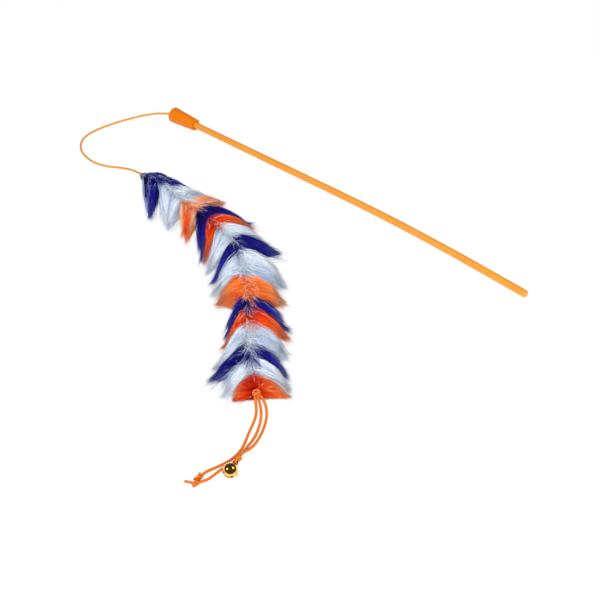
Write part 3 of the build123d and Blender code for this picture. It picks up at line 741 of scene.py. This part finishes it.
def strandMesh(name, paths, columns, slim, rng):
    # Three-sided tapered strands: 4 rings and a tip each, with u from the tone column and v from root to tip
    count, rings = paths.shape[:2]
    tangent = np.gradient(paths, axis=1)
    tangent /= np.linalg.norm(tangent, axis=2, keepdims=True) + 1e-12
    aim = rng.normal(0, 1, (count, 1, 3))
    side = np.cross(tangent, aim)
    side /= np.linalg.norm(side, axis=2, keepdims=True) + 1e-12
    lift = np.cross(side, tangent)
    angle = np.arange(3) * math.tau / 3
    slim = slim * rng.uniform(0.75, 1.25, count)
    thick = strandRadius[None, :, None, None] * mm * slim[:, None, None, None]
    spoke = np.cos(angle)[:, None] * side[:, :-1, None] + np.sin(angle)[:, None] * lift[:, :-1, None]
    body = paths[:, :-1, None] + thick * spoke
    each = 3 * (rings - 1) + 1
    points = np.concatenate([body.reshape(count, -1, 3), paths[:, -1:]], axis=1).reshape(-1, 3)
    ring, spot = np.meshgrid(np.arange(rings - 2), np.arange(3), indexing="ij")
    after = (spot + 1) % 3
    here, ahead = ring * 3, (ring + 1) * 3
    walls = np.stack([here + spot, ahead + spot, ahead + after, here + after], -1).reshape(-1, 4)
    lastRing = 3 * (rings - 2)
    spots = np.arange(3)
    tips = np.stack([lastRing + spots, np.full(3, each - 1), lastRing + (spots + 1) % 3], -1)
    ends = np.array([[0, 1, 2]])
    offset = (np.arange(count) * each)[:, None, None]
    faces = [(group[None] + offset).reshape(-1, group.shape[1]) for group in (walls, tips, ends)]
    near, far = strandRun[ring], strandRun[ring + 1]
    wallU = np.stack([spot, spot, spot + 1, spot + 1], -1).reshape(-1, 4) / 3
    wallV = np.stack([near, far, far, near], -1).reshape(-1, 4)
    tipU = np.stack([spots, spots + 0.5, spots + 1], -1) / 3
    tipV = np.tile([strandRun[-2], 1.0, strandRun[-2]], (3, 1))
    endU = np.array([[0.2, 0.5, 0.8]])
    endV = np.array([[0.0, 0.01, 0.0]])
    columnEdge = 0.04
    uv = []
    for u, v in ((wallU, wallV), (tipU, tipV), (endU, endV)):
        wide = (columns[:, None, None] + columnEdge + (1 - 2 * columnEdge) * u[None]) / toneColumns
        uv.append(np.stack([wide, np.broadcast_to(v[None], wide.shape)], -1).reshape(-1, 2))
    return newMesh(name, points, faces, np.concatenate(uv), "OFBake")


furSeed = 410
dyedColumns = toneColumns - paleColumns
for index, band in enumerate(furBands):
    rng = np.random.default_rng(furSeed + index)
    if index == len(furBands) - 1:
        along, across, high, guard, tone, slim = fanStrands(band, rng)
    else:
        before = band.get("former", furBands[index - 1])
        along, across, high, guard, tone, slim = furStrands(band, before, rng)
    paths = tailPoint(along, across, high)
    columns = np.where(guard, dyedColumns + np.floor(tone * paleColumns), np.floor(tone * dyedColumns))
    name = f"furBand{index + 1:02d}"
    mesh = strandMesh(name, paths, columns, slim, rng)
    addPiece(name, mesh, furDyes[band["dye"]], "tail", [f"fur_band_{index + 1:02d}"])
print("fur grown")


# Pale floor and plain soft studio light
def addSoftbox(name, place, size, watts, mirrored):
    lamp = bpy.data.lights.new(name, "AREA")
    lamp.shape = "RECTANGLE"
    lamp.size = lamp.size_y = size
    lamp.energy = watts
    box = bpy.data.objects.new(name, lamp)
    box.location = viewTarget + place
    box.rotation_euler = Vector((-place).tolist()).to_track_quat("-Z", "Y").to_euler()
    box.visible_glossy = mirrored
    scene.collection.objects.link(box)


floorHalf = 3.0
floorSquare = np.array([[-1, -1, 0], [1, -1, 0], [1, 1, 0], [-1, 1, 0]]) * floorHalf
floorMesh = newMesh("studioFloor", viewTarget * [1, 1, 0] + floorSquare, [np.array([[0, 1, 2, 3]])])
floorMaterial, floorTree, floorShader = newMaterial("paleStudioFloor", {
    "Roughness": 0.9, "Specular IOR Level": 0.1, "Emission Color": hexColour("#ffffff"),
})
# Matt white board. The camera sees a floor that is mostly lit evenly and keeps a light shadow
floorGlow = 0.8
floorRays = addNode(floorTree, "LightPath", {}).outputs["Is Camera Ray"]
floorPaint = addNode(floorTree, "MixRGB", {"Color1": hexColour("#fdfdfe"), "Color2": hexColour("#747474")}, [
    ("Fac", floorRays),
])
floorTree.links.new(floorPaint.outputs["Color"], floorShader.inputs["Base Color"])
glow = addNode(floorTree, "MapRange", {"To Max": floorGlow}, [("Value", floorRays)])
floorTree.links.new(glow.outputs["Result"], floorShader.inputs["Emission Strength"])
floorMesh.materials.append(floorMaterial)
studioFloor = bpy.data.objects.new("studioFloor", floorMesh)
scene.collection.objects.link(studioFloor)

# Places are in metres from the view's target. The two large boxes light the object but aren't mirrored in it
rightward = unit(np.cross(-viewOffset, upward))
backward = unit(viewOffset * [1, 1, 0])
addSoftbox("leftSoftbox", -0.95 * rightward + 0.32 * backward + 1.0 * upward, size=0.5, watts=3, mirrored=True)
addSoftbox("rightSoftbox", 0.9 * rightward - 0.1 * backward + 1.1 * upward, size=0.5, watts=3, mirrored=True)
addSoftbox("topSoftbox", -0.5 * backward + 1.5 * upward, size=1.8, watts=3, mirrored=False)
addSoftbox("frontSoftbox", 1.4 * unit(viewOffset), size=0.9, watts=23, mirrored=False)
# The room is bright to the camera, dim in mirrors and in between as a light
roomLevels = {"camera": 1.12, "mirror": 0.1, "light": 0.58}
world = bpy.data.worlds.new("studio")
world.use_nodes = True
room = world.node_tree.nodes["Background"]
room.inputs["Color"].default_value = hexColour("#f4f7fc")
rays = addNode(world.node_tree, "LightPath", {})
mirrorLevel = addNode(world.node_tree, "MapRange", {
    "To Min": roomLevels["light"], "To Max": roomLevels["mirror"],
}, [("Value", rays.outputs["Is Glossy Ray"])])
roomLevel = addNode(world.node_tree, "MapRange", {"To Max": roomLevels["camera"]}, [
    ("Value", rays.outputs["Is Camera Ray"]), ("To Min", mirrorLevel.outputs["Result"]),
])
world.node_tree.links.new(roomLevel.outputs["Result"], room.inputs["Strength"])
scene.world = world
scene.view_settings.view_transform = "Standard"
scene.view_settings.look = "None"
print("light set")
